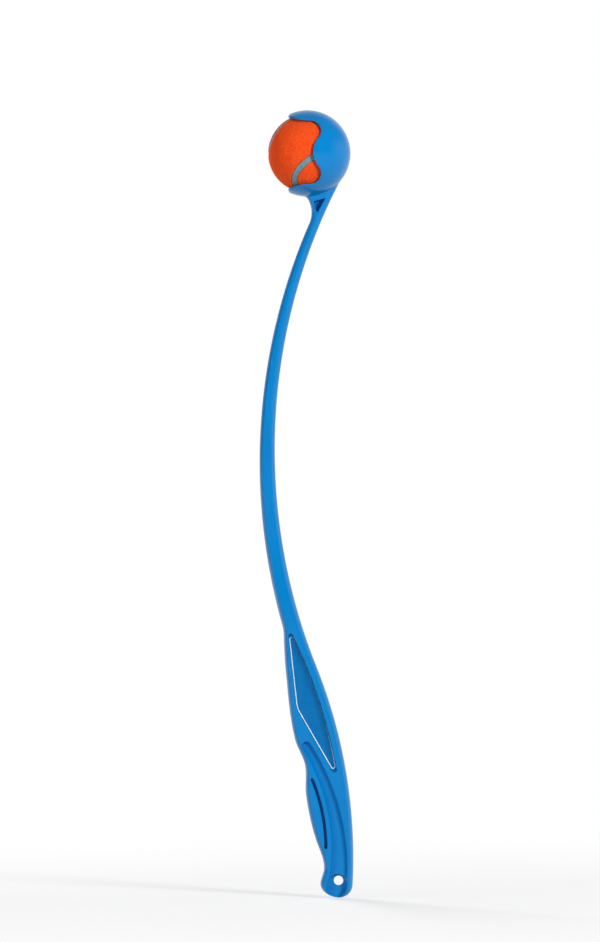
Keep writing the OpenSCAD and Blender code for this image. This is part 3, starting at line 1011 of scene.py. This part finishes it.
floor_mix = floor_tree.nodes.new("ShaderNodeMixShader")
floor_tree.links.new(floor_glow, floor_mix.inputs["Fac"])
floor_tree.links.new(floor_shader.outputs[0], floor_mix.inputs[1])
floor_tree.links.new(floor_white.outputs[0], floor_mix.inputs[2])
floor_tree.links.new(floor_mix.outputs[0], floor_tree.nodes["Material Output"].inputs["Surface"])
floor_mesh.materials.append(floor_material)

scene = bpy.context.scene
scene.view_settings.view_transform = "Standard"
world = bpy.data.worlds.new("white_surround")
scene.world = world
world.use_nodes = True
sky = world.node_tree
white = sky.nodes.new("ShaderNodeBackground")
white.inputs["Color"].default_value = grey(1.0)
soft = sky.nodes["Background"]
soft.inputs["Color"].default_value = grey(1.0)
way = sky.nodes.new("ShaderNodeTexCoord").outputs["Generated"]


def glow(toward, start, stop, low, high):
    """A level that grows from low to high as the way looked nears a direction."""
    near = sky.nodes.new("ShaderNodeVectorMath")
    near.operation = "DOT_PRODUCT"
    near.inputs[1].default_value = Vector(toward).normalized()
    sky.links.new(way, near.inputs[0])
    spread = sky.nodes.new("ShaderNodeMapRange")
    spread.interpolation_type = "SMOOTHSTEP"
    spread.inputs["From Min"].default_value = start
    spread.inputs["From Max"].default_value = stop
    spread.inputs["To Min"].default_value = low
    spread.inputs["To Max"].default_value = high
    sky.links.new(near.outputs["Value"], spread.inputs["Value"])
    return spread.outputs["Result"]


up = (0.0, 0.0, 1.0)
back = (0.0, 1.0, 0.0)
ray = sky.nodes.new("ShaderNodeLightPath").outputs
seen = two_values(sky, "MAXIMUM", ray["Is Camera Ray"], ray["Is Transmission Ray"])
backdrop = two_values(sky, "MULTIPLY", ray["Is Glossy Ray"], glow(back, 0.4, 0.9, 0.0, 1.0))
seen = two_values(sky, "MAXIMUM", seen, backdrop)
right = (0.98, 0.15, 0.0)
below_ceiling = glow(up, 0.2, 0.6, 1.0, 0.0)
right_wall = two_values(sky, "MULTIPLY", glow(right, 0.78, 0.97, 0.0, 1.05), below_ceiling)
level = two_values(sky, "ADD", glow(up, -0.1, 1.0, 0.03, 0.22), right_wall)
sky.links.new(level, soft.inputs["Strength"])
either = sky.nodes.new("ShaderNodeMixShader")
sky.links.new(seen, either.inputs["Fac"])
sky.links.new(soft.outputs[0], either.inputs[1])
sky.links.new(white.outputs[0], either.inputs[2])
sky.links.new(either.outputs[0], sky.nodes["World Output"].inputs["Surface"])

middle = (cad_low + cad_high) / 2


def soft_lamp(name, place, size, power):
    """A soft lamp at a place from the part's middle, turned to it and hidden from reflections."""
    lamp = bpy.data.lights.new(name, "AREA")
    lamp.shape = "RECTANGLE"
    lamp.size, lamp.size_y = size
    lamp.energy = power
    holder = bpy.data.objects.new(name, lamp)
    holder.location = middle + Vector(place)
    holder.rotation_euler = (-Vector(place)).to_track_quat("-Z", "Y").to_euler()
    holder.visible_glossy = False
    scene.collection.objects.link(holder)


soft_lamp("key_right", (2.25, -2.8, 1.4), (0.9, 0.9), 106)
soft_lamp("fill_left", (-2.2, -2.0, 0.1), (1.2, 1.4), 35)
soft_lamp("back_left", (-1.5, 3.0, 1.2), (1.4, 1.4), 110)

photo_px = (600, 942)
mm_per_px = 0.8058
hole_px = (338.5, 880.3)
camera_back = 6.0
camera_data = bpy.data.cameras.new("front_camera")
camera_data.lens = camera_data.sensor_width * camera_back / (photo_px[1] * mm_per_px * mm)
camera_data.clip_end = 200
camera = bpy.data.objects.new("front_camera", camera_data)
camera.location = (
    (photo_px[0] / 2 - hole_px[0]) * mm_per_px * mm,
    -camera_back,
    (hole_px[1] - photo_px[1] / 2) * mm_per_px * mm,
)
camera.rotation_euler = (math.pi / 2, 0, 0)
scene.collection.objects.link(camera)
scene.camera = camera
